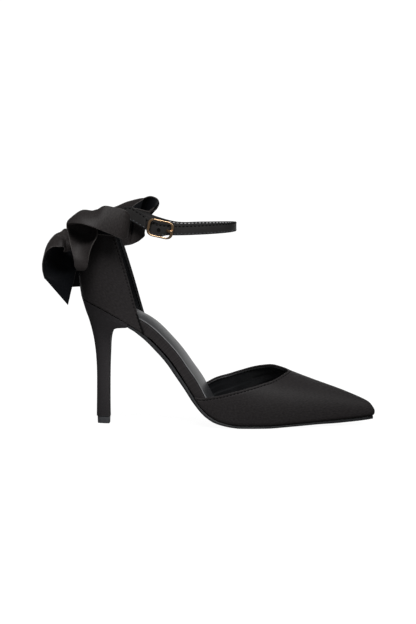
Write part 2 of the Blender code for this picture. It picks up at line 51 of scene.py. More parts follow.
MM = 0.001  # metres in one millimetre
GAP = 0.3  # clearance between neighbouring pieces
LENGTH = 231.3  # back of the heel to the tip of the toe
CORNERS = ((1, 1), (-1, 1), (-1, -1), (1, -1))

# The shoe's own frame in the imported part's frame
SHIFT = np.array([
    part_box("vamp")[1][0] / MM - LENGTH,
    (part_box("top_lift")[0][1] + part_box("top_lift")[1][1]) / 2 / MM,
    0.0])


def table(columns, *rows):
    """Rows of sizes under named columns."""
    return dict(zip(columns.split(), np.array(rows, float).T))


# Last, sole and upper: the solids' sizes, a little refitted at counter, insole and heel
LAST = table(
    "x lateral medial swing",
    (0, 0, 0, 0), (8, 18.8, 18.8, 0), (20, 25, 25, 0), (32, 26.5, 26.3, 0), (50, 24.3, 23.8, 0),
    (70, 22.5, 21, 0), (90, 28, 26.5, 0), (110, 35, 32, 0), (128, 38, 34, 0), (145, 37, 33, 0.3),
    (165, 31, 28, 1), (185, 23.5, 21.5, 1.8), (205, 15, 14, 2.8), (220, 8.3, 7.8, 3.5),
    (228, 4.3, 4.1, 3.9), (LENGTH, 0, 0, 4))
OUTSOLE = 2.2  # thickness of the leather outsole
BASE = table(
    "x z",
    (0, 99.8), (16, 93), (32, 84.4), (40, 79.5), (50, 73), (61, 62.3),
    (70.8, 51.2), (78.8, 39.8), (85.3, 30.6), (90.2, 23), (98.4, 12.8), (106, 7.2),
    (115.5, 3.8), (126, OUTSOLE), (150, OUTSOLE), (164, 2.9), (185, 4), (205, 5.1),
    (225, 6.4), (232, 7.2))
RIDGE = table(
    "x z",
    (84, 31), (88, 36), (96, 47), (102, 54), (110, 60), (118, 62),
    (126, 60.5), (136, 55.5), (145, 51.2), (154, 47.2), (163, 43.4), (183, 35.8),
    (204.7, 28), (215, 23.8), (221.3, 21), (226.8, 17.8), (230, 13.8), (LENGTH, 10.7))
TOPLINE = table(
    "share x",
    (-0.9995, 90.8), (-0.968, 102), (-0.947, 115), (-0.90, 130), (-0.81, 143), (-0.68, 153),
    (-0.44, 160), (-0.10, 163), (0.19, 159.2), (0.37, 151), (0.56, 143.3), (0.70, 135),
    (0.80, 126.5), (0.865, 115), (0.898, 100), (0.995, 87.5))
COUNTER = table(
    "rise back front narrow",
    (0, -0.8, 51, 1), (0.12, -2, 47.4, 1.02), (0.25, -2.6, 43.9, 1.02), (0.4, -2.2, 40, 1),
    (0.6, 0, 34.5, 0.95), (0.8, 4, 28.6, 0.9), (1, 8, 23, 0.86))
COUNTER_TOP_BACK = 163.0
COUNTER_TOP_FRONT = 167.0
INSOLE = table(
    "x inset thick",
    (4, 6, 6), (12, 4, 6), (30, 3, 6.5), (41, 3, 7.3), (42.5, 3, 7.4), (44.5, 1.3, 7.6),
    (49.5, 1.3, 7.9), (53, 0.5, 8.1), (56, 0.5, 8.2), (74, 0.5, 8.2), (87, 2.8, 8), (97, 4, 6),
    (110, 4.2, 3.6), (200, 4.2, 3.2), (222, 4.3, 2.6))
SECTION = "back_x back_z front_x front_z half"
HEEL = table(
    SECTION,
    (-0.6, 99.8, 38.3, 80.6, 26), (1.1, 94.5, 37.2, 78.2, 25), (3, 88.5, 33, 77.6, 22.4),
    (5, 83, 28, 76.8, 18.8), (6.7, 77, 24.6, 74.6, 15), (8.1, 71, 23, 71, 11.8),
    (9.2, 65, 22.3, 65.5, 9.4), (10.4, 55, 22, 55, 7.1), (11.1, 42, 21.7, 42, 5.6),
    (11.1, 25, 21.6, 25, 5), (10.9, 8, 21.7, 8, 4.9), (10.9, 5.8, 21.9, 5.8, 5.1))
LIFT = table(
    SECTION,
    (11.5, 5.5, 21.5, 5.5, 4.5), (11.7, 0, 21.3, 0, 4.3))
FOREFOOT = (88, 112)  # where the waist turns into the forefoot
TOE_LINES = (140, 185)  # where the vamp's columns turn from upright to straight lines over the toe
WAIST_TUCK = 1.2  # height over the sole at which the upper stands out furthest, at its wings
FOREFOOT_TUCK = 3.4  # and round the forefoot
FEATHER_INSET = 1.5  # how far the upper tucks in where it meets the sole
LAST_ROUNDNESS = 2.2  # power of the forefoot's cross section, two for an ellipse
VAMP_SPREAD = 3.5  # how late the vamp's columns fan out towards the toe
DOME_EASE = 1.7  # how much closer its rows lie at the sole
HEEL_SEAT_END = 38.3  # where the heel's breast meets the outsole


# Curves

def smooth(at, knots, values):
    """Cubic curve through values at the knots, with each slope taken from the neighbouring knots."""
    at = np.clip(np.asarray(at, float), knots[0], knots[-1])
    slopes = np.gradient(values, knots, axis=0)
    left = np.clip(np.searchsorted(knots, at, side="right") - 1, 0, len(knots) - 2)
    span = knots[left + 1] - knots[left]
    t = (at - knots[left]) / span
    if values.ndim > 1:
        span = span[..., None]
        t = t[..., None]
    start = (1 + 2 * t) * (1 - t) ** 2 * values[left] + t * (1 - t) ** 2 * span * slopes[left]
    end = t * t * (3 - 2 * t) * values[left + 1] - t * t * (1 - t) * span * slopes[left + 1]
    return start + end


def round_ends(x):
    """Place along the last with both of its ends stretched, for curves that are round there."""
    return np.arccos(1 - 2 * np.clip(np.asarray(x, float) / LENGTH, 0, 1)) / math.pi


def along_last(share):
    return LENGTH * (1 - np.cos(math.pi * share)) / 2


def fade(x, start, end):
    """Nought before start, one after end, smooth between."""
    t = np.clip((x - start) / (end - start), 0, 1)
    return t * t * (3 - 2 * t)


def plateau(x, start, full, fading, end):
    """One from full to fading, nought before start and after end."""
    return fade(x, start, full) * (1 - fade(x, fading, end))


def bump_at(x, middle, width):
    """Soft ridge of height one round a middle."""
    return np.exp(-((x - middle) / width) ** 2)


def half_width(x, side):
    """Half the last's width on the outer side, where side is below nought, or on the inner."""
    at = round_ends(x)
    knots = round_ends(LAST["x"])
    outer, inner = (smooth(at, knots, LAST[key]) for key in ("lateral", "medial"))
    return np.maximum(np.where(side < 0, outer, inner), 0)


def swing(x):
    return smooth(x, LAST["x"], LAST["swing"])


def base(x):
    return np.maximum(smooth(x, BASE["x"], BASE["z"]), OUTSOLE)


def base_normal(x):
    step = 0.5
    slope = (base(x + step) - base(x - step)) / (2 * step)
    size = np.sqrt(1 + slope ** 2)
    return -slope / size, 1 / size


def tuck(x):
    return WAIST_TUCK + (FOREFOOT_TUCK - WAIST_TUCK) * fade(x, *FOREFOOT)


def last_top(x, y):
    """Height of the last over the forefoot."""
    side = y - swing(x)
    share = np.clip(np.abs(side) / np.maximum(half_width(x, side), 0.01), 0, 1)
    foot = base(x) + tuck(x)
    ridge = smooth(round_ends(x), round_ends(RIDGE["x"]), RIDGE["z"])
    return foot + (ridge - foot) * (1 - share ** LAST_ROUNDNESS) ** (1 / LAST_ROUNDNESS)


# Meshes

def turns(sides):
    """Angles once round."""
    return np.linspace(0, 2 * math.pi, sides, endpoint=False)


def unit(vectors):
    return vectors / np.maximum(np.linalg.norm(vectors, axis=-1, keepdims=True), 1e-9)


def grid_normals(grid):
    return unit(np.cross(np.gradient(grid, axis=0), np.gradient(grid, axis=1)))


def lengths(points):
    """Distance along each polyline of points, from its start."""
    steps = np.linalg.norm(np.diff(points, axis=0), axis=-1)
    return np.concatenate([np.zeros((1,) + steps.shape[1:]), np.cumsum(steps, axis=0)])


def on_line(line, at, values=None):
    """Points at distances along a polyline, or other values that are given at its points."""
    run = lengths(line)
    values = line if values is None else values
    return np.stack([np.interp(at, run, column) for column in values.T], axis=1)


def make(name, points, faces, uv, replaces=()):
    """A smooth-shaded piece from points in millimetres, with its cloth lengths as texture places."""
    mesh = bpy.data.meshes.new(name)
    mesh.from_pydata(((points + SHIFT) * MM).tolist(), [], faces)
    layer = mesh.uv_layers.new(name="cloth")
    corners = np.empty(len(mesh.loops), np.int32)
    mesh.loops.foreach_get("vertex_index", corners)
    layer.data.foreach_set("uv", (uv * MM)[corners].astype(np.float32).ravel())
    mesh.validate()
    mesh.shade_smooth()
    piece = bpy.data.objects.new(name, mesh)
    scene.collection.objects.link(piece)
    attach(piece, "root")
    if replaces:
        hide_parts(*replaces)
    return piece


RIM_TURNS = np.radians([0, 22.5, 45, 67.5])
RIM = len(RIM_TURNS)  # steps round a rim
RIM_SHARE = 0.2  # most of a sheet's width that one rim takes


def rim(count, size, radius):
    """Places from nought to one with a rounded rim at each end, and how full the sheet is at each."""
    inner = min(radius / size, RIM_SHARE)
    near = inner * (1 - np.cos(RIM_TURNS))
    full = np.sin(RIM_TURNS)
    places = np.concatenate([near, np.linspace(inner, 1 - inner, count), 1 - near[::-1]])
    return places, np.concatenate([full, np.ones(count), full[::-1]])


def shell(name, middle, half, replaces=()):
    """Closed sheet about a middle surface, with half its thickness at each point: nought where it ends."""
    rows, columns = middle.shape[:2]
    count = rows * columns
    offset = grid_normals(middle) * half[..., None]
    points = np.concatenate([(middle + offset).reshape(-1, 3), (middle - offset).reshape(-1, 3)])
    front = np.arange(count).reshape(rows, columns)
    back = np.where(half <= 1e-6, front, front + count)
    faces = []
    for face, turn in ((front, 1), (back, -1)):
        corners = (face[:-1, :-1], face[1:, :-1], face[1:, 1:], face[:-1, 1:])
        faces.extend(np.stack(corners, axis=-1).reshape(-1, 4)[:, ::turn].tolist())

    def border(face):
        return np.concatenate([face[0, :-1], face[:-1, -1], face[-1, :0:-1], face[:0:-1, 0]])

    above = border(front)
    below = border(back)
    for corners in zip(above, np.roll(above, -1), np.roll(below, -1), below):
        ring = list(dict.fromkeys(corners))
        if len(ring) > 2:
            faces.append(ring)
    across = np.mean(lengths(middle.transpose(1, 0, 2)), axis=1)
    uv = np.stack(np.broadcast_arrays(across, lengths(middle)), axis=-1).reshape(-1, 2)
    return make(name, points, faces, np.concatenate([uv, uv]), replaces)


def ring_faces(count, sides, first=0, closed=False):
    """Faces between rings of points numbered from first on, with those of both ends unless closed."""
    index = first + np.arange(count * sides).reshape(count, sides)
    following = np.roll(index, -1, axis=1)
    corners = (index, following, np.roll(following, -1, axis=0), np.roll(index, -1, axis=0))
    faces = np.stack(corners, axis=-1)
    if closed:
        return faces.reshape(-1, 4).tolist()
    return faces[:-1].reshape(-1, 4).tolist() + [index[0, ::-1].tolist(), index[-1].tolist()]


def ring_loft(name, rings, replaces=(), closed=False):
    """Solid through rings of points, closed at both ends or joined round into a ring."""
    along = np.mean(lengths(rings), axis=1)[:, None]
    around = np.mean(lengths(rings.transpose(1, 0, 2)), axis=1)
    uv = np.stack(np.broadcast_arrays(around, along), axis=-1).reshape(-1, 2)
    faces = ring_faces(*rings.shape[:2], closed=closed)
    return make(name, rings.reshape(-1, 3), faces, uv, replaces)


def second_look(piece, faces, look=1):
    """Give some of a piece's faces its second material, or a later one."""
    looks = np.empty(len(piece.data.polygons), np.int32)
    piece.data.polygons.foreach_get("material_index", looks)
    looks[faces] = look
    piece.data.polygons.foreach_set("material_index", looks)


def rim_look(piece, across, look=1):
    """The same for a sheet's two long rims, with the number of columns between them."""
    strip = np.arange(len(piece.data.polygons)) % (across + 2 * RIM - 1)
    second_look(piece, (strip < RIM) | (strip >= across + RIM - 1), look)


# Small repeated pieces

# Places along a stitch, and how full it is there
GRAIN = np.array(((-0.5, 0.25), (-0.3, 0.85), (0, 1), (0.3, 0.85), (0.5, 0.25)))
GRAIN_SIDES = 6
STITCH_PITCH = 2.8


def grains(name, places, ahead, out, size, slot):
    """Many stitches in one mesh: each a small spindle lying along its seam."""
    long, wide, high = size
    turn = turns(GRAIN_SIDES)
    along, full = GRAIN.T[:, :, None]
    round_it = (np.cos(turn) * full * wide / 2, np.sin(turn) * full * high / 2)
    shares = np.stack(np.broadcast_arrays(along * long, *round_it))
    axes = np.stack([ahead, unit(np.cross(out, ahead)), out])
    points = (places[:, None, None] + np.einsum("ars,anc->nrsc", shares, axes)).reshape(-1, 3)
    faces = []
    for first in range(0, len(points), len(GRAIN) * GRAIN_SIDES):
        faces += ring_faces(len(GRAIN), GRAIN_SIDES, first)
    return make(name, points, faces, points[:, (0, 2)])


def seam(path, out, pitch=STITCH_PITCH):
    """Places, directions and outward normals of stitches along a path."""
    total = lengths(path)[-1]
    count = max(int(total / pitch), 2)
    at = (np.arange(count) + 0.5) * total / count
    ahead = unit(np.gradient(path, axis=0))
    return on_line(path, at), unit(on_line(path, at, ahead)), unit(on_line(path, at, out))


# Sole: stretches are given by where they start, are full, fade and end

OPEN_WAIST = (51, 55, 78, 86)  # where the insole's side shows between counter and vamp
SWELL_AT = (37, 49, 106, 118)  # where the outsole swells downwards
WEAR_AT = (100, 125, 185, 205)  # where its edge is worn round
BALL = (95, 110)  # where it comes up to the upper
SWELL = 2.8
WEAR = 0.6
GROOVE = 0.9  # between insole and outsole at the open waist
OUTSOLE_SHORT = 1.6  # how far the outsole ends behind the tip of the toe
OUTSOLE_TIP = 1.4  # half its width there
OUTSOLE_INSET = 0.9  # how far its edge lies inside the last's at the waist
FOREFOOT_INSET = 1.0  # and at the forefoot
SOCK = 0.6  # thickness of the sock at its edge
SOCK_CROWN = 2.4  # how much thicker it is in the middle
SOCK_COLUMNS = 25
SOCK_INSET = 0.5  # from the insole's edge
SEAT_SHIFT = 3.2  # at the seat the sock lies within the counter
SEAT_INSET = 2.7
SEAT_END = (42, 52)
LAYER_WIDE = 50.0  # usual width of the sole's layers


def layer(name, ends, half, low, high, edge, slot, replaces, stations=90, across=17):
    """Layer along the sole with a rounded edge all round. Its heights are above the sole's line."""
    place, full_x = rim(stations, ends[1] - ends[0], edge)
    share, full_y = rim(across, LAYER_WIDE, edge)
    fine = along_last(np.linspace(*round_ends(ends), 400))
    x = np.interp(place, np.linspace(0, 1, len(fine)), fine)
    x, share = np.meshgrid(x, 2 * share - 1, indexing="ij")
    y = swing(x) + share * half(x, share)
    ahead, up = base_normal(x)
    bottom = low(x, share)
    top = high(x, share)
    level = (bottom + top) / 2
    middle = np.stack([x + ahead * level, y, base(x) + up * level], axis=2)
    full = np.sqrt(full_x[:, None] * full_y)
    return shell(name, middle, (top - bottom) / 2 * full, replaces)


def outsole():
    """Leather sole, swollen a little under the waist."""
    end = LENGTH - OUTSOLE_SHORT

    def half(x, side):
        inset = OUTSOLE_INSET + (FOREFOOT_INSET - OUTSOLE_INSET) * fade(x, *FOREFOOT)
        return np.maximum(half_width(x * LENGTH / end, side) - inset, OUTSOLE_TIP)

    def low(x, share):
        worn = WEAR * plateau(x, *WEAR_AT) * share ** 6
        return worn - OUTSOLE - SWELL * plateau(x, *SWELL_AT) * (1 - share ** 2)

    def high(x, share):
        return GROOVE * plateau(x, *OPEN_WAIST) * (1 - share ** 4) + GAP * fade(x, *BALL) - GAP / 2

    return layer("outsole_leather", (HEEL_SEAT_END + GAP, end), half, low, high,
                 0.5, "sole_leather", ("outsole",))


def insole_half(x, side):
    return half_width(x, side) - smooth(x, INSOLE["x"], INSOLE["inset"])


def insole_top(x, share):
    return GAP + smooth(x, INSOLE["x"], INSOLE["thick"])


def insole():
    """Insole board wrapped in satin."""
    def low(x, share):
        return GAP + GROOVE * plateau(x, *OPEN_WAIST)

    return layer("insole_wrapped", (4, 222), insole_half, low, insole_top, 0.9, "satin", ("insole",), 200)


def sock_lining():
    """Leather sock, a little crowned across the foot, with its cut edge painted pale as a highlight."""
    def low(x, share):
        return GAP + insole_top(x, share)

    def high(x, share):
        return low(x, share) + SOCK + SOCK_CROWN * (1 - share ** 2)

    def half(x, side):
        seat = half_width(x + SEAT_SHIFT, side) - SEAT_INSET
        return seat + (insole_half(x, side) - SOCK_INSET - seat) * fade(x, *SEAT_END)

    sock = layer("sock_leather", (0.8, 205), half, low, high, 0.5, "sock_leather", ("sock_lining",),
                 200, SOCK_COLUMNS)
    # the sock's rims get the pale edge leather: a painted highlight
    rim_look(sock, SOCK_COLUMNS)
    return sock


# Upper

def vamp_surface(columns, roll_rows=8, dome_rows=60):
    """Outer face of the vamp: columns from the inner wing round the toe to the outer one, rows upwards."""
    middle = columns // 2
    side = np.where(np.arange(columns) < middle, -1.0, 1.0)
    knots = np.arange(len(TOPLINE["x"]))
    throat = np.argmax(TOPLINE["x"])
    place = np.concatenate([np.linspace(0, throat, middle, endpoint=False),
                            np.linspace(throat, knots[-1], middle + 1)])
    top_x = smooth(place, knots, TOPLINE["x"])
    top_share = smooth(place, knots, TOPLINE["share"])
    top_y = swing(top_x) + top_share * half_width(top_x, top_share)

    reach = np.where(place < throat, place / throat, (knots[-1] - place) / (knots[-1] - throat))
    feather_x = along_last(round_ends(top_x) + (1 - round_ends(top_x[middle])) * reach ** VAMP_SPREAD)
    feather_y = swing(feather_x) + side * half_width(feather_x, side)
    feather_y[middle] = swing(LENGTH)

    ahead_x, ahead_y = unit(np.stack([np.gradient(feather_x), np.gradient(feather_y)], axis=1)).T
    turn = np.arange(roll_rows)[:, None] / roll_rows * math.pi / 2
    inset = FEATHER_INSET * (1 - np.sin(turn))
    x = feather_x - ahead_y * inset
    y = feather_y + ahead_x * inset
    roll = np.stack([x, y, base(x) + GAP + (tuck(x) - GAP) * (1 - np.cos(turn))], axis=2)

    share = np.linspace(0, 1, dome_rows)[:, None] ** DOME_EASE
    x = feather_x + (top_x - feather_x) * share
    wall_y = swing(x) + (side + (top_share - side) * share) * half_width(x, side)
    line_y = feather_y + (top_y - feather_y) * share
    y = wall_y + (line_y - wall_y) * fade(fade(feather_x, *TOE_LINES), 0, 1)
    dome = np.stack([x, y, last_top(x, y)], axis=2)
    return np.concatenate([roll, dome])[:, ::-1]


VAMP_WALL = 1.5
COUNTER_WALL = 1.7
LINING = 0.25  # half the thickness of the linings
LINING_EDGE = 0.4  # roundness of their edges
VAMP_LINING_IN = VAMP_WALL + 0.35  # how deep the linings lie under the satin's face
COUNTER_LINING_IN = COUNTER_WALL + 0.3
STITCH_IN = 2.0  # distance of an edge's stitch row from the edge
STITCH = (1.7, 1.05, 0.6)  # length, width and height
STITCH_PROUD = 0.15  # how far a stitch stands out of its trough
EDGE_STEPS = np.array([0, 0.06, 0.2, 0.42, 0.75, 1.1, 1.4, 1.65, 1.85, STITCH_IN,
                       2.15, 2.35, 2.65, 3.1, 3.8, 5.0])
SHADE_EDGE = 1.6  # width of the dark band at the counter's front edges, painted shade where it meets the insole
SHADE_HEIGHT = 11.0  # and how far up from the sole it shows
STITCH_ROW = int(np.argmax(EDGE_STEPS == STITCH_IN))


def from_top(columns, count):
    """A grid's columns resampled at set distances from the top edge, and those distances."""
    grid = []
    depth = []
    for column in columns.transpose(1, 0, 2):
        total = lengths(column)[-1]
        near = EDGE_STEPS * min(1.0, total / (2.5 * EDGE_STEPS[-1]))
        down = np.concatenate([near, np.linspace(near[-1], total, count + 1)[1:]])[::-1]
        grid.append(on_line(column, total - down))
        depth.append(down)
    return np.array(grid).transpose(1, 0, 2), np.array(depth).T


def edge_full(depth, radius):
    """How full a sheet is at a depth from its rounded edge."""
    return np.sqrt(1 - (1 - np.clip(depth / radius, 0, 1)) ** 2)


def sewn(depth):
    """Relief of a folded and stitched edge: a low roll, and the pull of the stitch row."""
    return 0.16 * bump_at(depth, 0.9, 0.7) - 0.30 * bump_at(depth, STITCH_IN, 0.5)


def vamp():
    """Pointed front of the upper with its sewn topline, its lining and its stitches."""
    outer, depth = from_top(vamp_surface(201), 52)
    normals = grid_normals(outer)
    outer = outer + normals * sewn(depth)[..., None]
    satin = shell("vamp_satin", outer - normals * VAMP_WALL / 2,
                  VAMP_WALL / 2 * edge_full(depth, 0.55), ("vamp",))

    rows = (depth > 0.7).all(axis=1) | (depth.max(axis=1) > 1.05)
    tall = depth[rows]
    x = outer[rows][..., 0]
    creases = 0.15 * np.sin(tall * 0.95 + 1.3 * np.sin(x * 0.06)) * fade(tall, 4, 9)
    creases += 0.09 * np.sin(tall * 1.9 + x * 0.12) * fade(tall, 5, 12)
    lining = shell("vamp_lining", outer[rows] - normals[rows] * (VAMP_LINING_IN + creases)[..., None],
                   LINING * edge_full(tall - tall.min(axis=0), LINING_EDGE))

    row = -1 - STITCH_ROW
    keep = depth[row] > 0.8 * STITCH_IN
    out = normals[row][keep]
    path = outer[row][keep] + out * STITCH_PROUD
    thread = grains("vamp_stitches", *seam(path, out), STITCH, "satin")
    path = path - out * (VAMP_LINING_IN + 0.2)
    inner_thread = grains("vamp_lining_stitches", *seam(path, -out), STITCH, "strap_leather")
    return satin, lining, thread, inner_thread


def counter_surface(columns, rows):
    """Outer face of the counter: columns run round the heel, rows from the seat up to the top edge."""
    turn = np.linspace(-math.pi / 2, math.pi / 2, columns)
    along = 1 - np.cos(turn)
    side = np.sign(turn)
    foot_x = COUNTER["front"][0] * along
    foot_z = base(foot_x) + GAP
    top_z = COUNTER_TOP_BACK + (COUNTER_TOP_FRONT - COUNTER_TOP_BACK) * along
    rise = np.linspace(0, 1, rows)[:, None]
    keys = ("back", "front", "narrow")
    back, front, narrow = (smooth(rise, COUNTER["rise"], COUNTER[key]) for key in keys)
    x = back + (front - back) * along
    y = side * half_width(foot_x, side) * narrow
    return np.stack([x, y, foot_z + (top_z - foot_z) * rise], axis=2)


def from_sides(grid, count):
    """A grid's rows resampled at set distances from both ends, and the distances."""
    made = []
    depth = []
    for row in grid:
        total = lengths(row)[-1]
        middle = np.linspace(EDGE_STEPS[-1], total - EDGE_STEPS[-1], count)[1:-1]
        at = np.concatenate([EDGE_STEPS, middle, total - EDGE_STEPS[::-1]])
        made.append(on_line(row, at))
        depth.append(np.minimum(at, total - at))
    return np.array(made), np.array(depth)


def counter():
    """Back of the upper with its stitched front edges and its lining."""
    tall, top_depth = from_top(counter_surface(161, 90), 60)
    outer, side_depth = from_sides(tall, 90)
    top_depth = np.broadcast_to(np.median(top_depth, axis=1)[:, None], side_depth.shape)
    foot_depth = top_depth.max() - top_depth
    normals = grid_normals(outer)
    outer = outer + normals * sewn(np.minimum(side_depth, top_depth))[..., None]
    full = edge_full(side_depth, 0.6) * edge_full(top_depth, 0.6) * np.sqrt(edge_full(foot_depth, 0.5))
    satin = shell("counter_satin", outer - normals * COUNTER_WALL / 2, COUNTER_WALL / 2 * full,
                  ("counter",))
    # a dark band along the counter's lower front edges: painted shade where the counter meets the insole
    side = np.maximum(side_depth[:-1, :-1], side_depth[1:, 1:])
    second_look(satin, np.flatnonzero((side < SHADE_EDGE) & (foot_depth[:-1, 1:] < SHADE_HEIGHT)))

    inside = (slice(3, -4), slice(4, -4))
    edge = np.minimum(side_depth, top_depth)[inside]
    lining = shell("counter_lining", outer[inside] - normals[inside] * COUNTER_LINING_IN,
                   LINING * edge_full(edge - edge.min(), LINING_EDGE))

    sets = []
    upwards = slice(2, -STITCH_ROW)
    for column in (STITCH_ROW, -1 - STITCH_ROW):
        path = outer[upwards, column]
        out = normals[upwards, column]
        sets.append(seam(path + out * STITCH_PROUD, out))
        sets.append(seam(path - out * (COUNTER_LINING_IN + 0.3), -out))
    top = (-1 - STITCH_ROW, slice(STITCH_ROW, -STITCH_ROW))
    sets.append(seam(outer[top] + normals[top] * STITCH_PROUD, normals[top]))
    thread = grains("counter_stitches", *(np.concatenate(part) for part in zip(*sets)), STITCH, "satin")
    return satin, lining, thread


# Heel

LOOP_STEPS = 600
HEEL_COLUMNS = 81
HEEL_SQUARE = 0.85  # power of the heel's width, less than one for a squarer breast
LIFT_SHRINK = table(
    "share size",
    (0, 0.97), (0.04, 1), (0.35, 1), (0.7, 1), (0.93, 1), (0.98, 0.985), (1, 0.95))


def softened(ring, count, radius):
    """A closed ring of points with its corners rounded, evenly spaced."""
    loop = np.concatenate([ring, ring[:1]])
    step = lengths(loop)[-1] / LOOP_STEPS
    dense = on_line(loop, np.arange(LOOP_STEPS) * step)
    reach = max(int(3 * radius / step), 1)
    shifts = range(-reach, reach + 1)
    weights = np.exp(-0.5 * (np.array(shifts) * step / radius) ** 2)
    weights /= weights.sum()
    soft = sum(weight * np.roll(dense, shift, axis=0) for weight, shift in zip(weights, shifts))
    low = soft.min(axis=0)
    grow = np.ptp(ring, axis=0) / np.maximum(soft.max(axis=0) - low, 1e-9)
    soft = ring.min(axis=0) + (soft - low) * grow
    return soft[np.linspace(0, LOOP_STEPS, count, endpoint=False).astype(int)]


def heel_ring(back_x, back_z, front_x, front_z, half, seat=False):
    """Section of the heel: round behind, nearly flat across its breast."""
    turn = np.linspace(-math.pi / 2, math.pi / 2, HEEL_COLUMNS)
    along = 1 - np.cos(turn)
    x = back_x + (front_x - back_x) * along
    y = half * np.sign(turn) * np.abs(np.sin(turn)) ** HEEL_SQUARE
    z = back_z + (front_z - back_z) * along
    if seat:
        seat_x = front_x * along
        y = np.sign(turn) * np.maximum(half_width(seat_x, turn) - GAP, 0)
        z = base(seat_x)
    return np.stack([x, y, z], axis=1)


def heel():
    """Heel wrapped in satin, from the seat to its tip."""
    sections = [softened(heel_ring(*row, seat=number == 0), 96, min(0.6, 0.12 * row[4]))
                for number, row in enumerate(zip(*HEEL.values()))]
    place = np.concatenate([[0, 0.04], np.linspace(0.12, len(sections) - 1, 70)])
    flat = np.array(sections).reshape(len(sections), -1)
    rings = smooth(place, np.arange(len(sections)), flat).reshape(len(place), -1, 3)
    return ring_loft("heel_satin", rings, ("heel",))


def top_lift():
    """Tip under the heel, its edges a little worn round."""
    upper, lower = (heel_ring(*row) for row in zip(*LIFT.values()))
    rings = []
    for share, shrink in zip(*LIFT_SHRINK.values()):
        ring = softened(upper + (lower - upper) * share, 72, 0.5)
        middle = ring.mean(axis=0)
        ring[:, :2] = middle[:2] + (ring[:, :2] - middle[:2]) * shrink
        rings.append(ring)
    return ring_loft("top_lift_rubber", np.array(rings), ("top_lift",))


# Strap and buckle

STRAP_FRONT = table(
    "x y top low",
    (46, -22.6, 168, 159.8), (51.5, -24.3, 165.2, 156.4), (56, -25.7, 163, 152),
    (60, -26.9, 161.5, 150.5), (64.5, -28, 160.4, 150.5), (69, -28.7, 159.9, 151.5),
    (74.5, -29, 159.6, 151.5), (94, -27, 160, 152), (109, -20, 160.5, 152.5), (118, -10, 160.5, 152.8),
    (121, 0, 160.4, 153), (118, 10, 160, 152.5), (109, 19, 159.3, 151.5), (92, 26, 158.5, 150.3),
    (72, 28.5, 158.3, 149.8), (57, 27.5, 162.2, 151.2), (46, 25, 166.4, 155.4), (37, 23.4, 168.6, 158),
    (26, 23.7, 166.5, 155.7), (17, 25.2, 162.5, 151.7))
STRAP_REAR = table(
    "x y top low",
    (17, -25.2, 164.5, 153.5), (26, -23.9, 169, 157.7), (33, -23.4, 172.3, 160.9),
    (39, -23.7, 173.8, 162.3), (46, -24.9, 170.5, 159.2), (52.4, -26.9, 166.7, 155.8))
STRAP = 1.6  # thickness of the strap
STRAP_WIDE = 9.0
STRAP_EDGE = 0.6  # roundness of its edges
STRAP_COLUMNS = 15
STRAP_STITCH_IN = 1.2
STRAP_STITCH = (1.9, 0.85, 0.45)
PALE_FROM = 66.0  # the inner stitches show from here forward
STRAP_PITCH = 3.0
HOLE_X = 62.8  # place of the punched hole
HOLE_RADIUS = 1.2
HOLE_PROUD = 0.06
HOLE_SIDES = 20
HOLE = table(  # from the pressed lip to the floor of the bowl
    "wide lift",
    (1.35, 0), (1.15, 0.10), (1, 0.08), (0.9, -0.02), (0.5, -0.06))
BUCKLE_HEEL_END = np.array((54.0, -28.0, 158.6))
BUCKLE_TOE_END = np.array((73.9, -31.3, 154.6))
BUCKLE_LENGTH = 21.3
BUCKLE_HEIGHT = 14.8
BUCKLE_CORNER = 4.2
BUCKLE_WIRE = 1.0
BAR_SIDES = 20
BAR_SQUARE = 0.75  # power of a bar's section, less than one for squarer sides
PRONG = 0.95
PRONG_START = 5.4
PRONG_PAST = 1.3  # how far the prong reaches past the toe bar


def spaced(rows, places, edges):
    """Values on a smooth curve through rows, at places from nought to one along its mean length."""
    values = np.stack(list(rows.values()), axis=1)
    steps = sum(np.linalg.norm(np.diff(values[:, edge], axis=0), axis=1) for edge in edges) / len(edges)
    knots = np.concatenate([[0], np.cumsum(steps)])
    return smooth(np.asarray(places) * knots[-1], knots, values), knots[-1]


def strap_grid(rows, along, across):
    """Middle surface of a strap on edge, from its upper to its lower edge, and the strap's length."""
    line, total = spaced(rows, along, [slice(0, 3)])
    x, y, top, low = line.T[:, :, None]
    return np.stack(np.broadcast_arrays(x, y, top * (1 - across) + low * across), axis=2), total


def strap(name, rows, count, replaces):
    """Leather strap with rounded edges and a stitch row along each of them, paler on its inner face."""
    _, total = strap_grid(rows, [0], 0)
    along, full_a = rim(count, total, STRAP_EDGE)
    across, full_b = rim(STRAP_COLUMNS, STRAP_WIDE, STRAP_EDGE)
    middle, _ = strap_grid(rows, along, across)
    depth = STRAP_WIDE * np.minimum(across, 1 - across)
    pull = 0.12 * bump_at(depth, STRAP_STITCH_IN, 0.5)
    half = (STRAP / 2 - pull) * np.sqrt(full_a[:, None] * full_b)
    leather = shell(name, middle, half, replaces)
    rim_look(leather, STRAP_COLUMNS)
    edge = STRAP_STITCH_IN / STRAP_WIDE
    lines, _ = strap_grid(rows, np.linspace(0.005, 0.995, 4 * count), np.array([edge, 1 - edge]))
    normals = grid_normals(lines)

    def row(edge, face):
        out = normals[:, edge] * face
        return seam(lines[:, edge] + out * (STRAP / 2 - 0.02), out, STRAP_PITCH)

    inner, outer = 1, -1
    upper, lower = 0, 1
    inside = [np.concatenate(part) for part in zip(row(upper, inner), row(lower, inner))]
    ahead = inside[0][:, 0] > PALE_FROM
    seams = {"_stitches": row(upper, outer), "_grey_stitches": row(lower, outer),
             "_pale_stitches": [part[ahead] for part in inside]}
    return [leather] + [grains(name + ending, *places, STRAP_STITCH, "strap_leather")
                        for ending, places in seams.items() if len(places[0])]


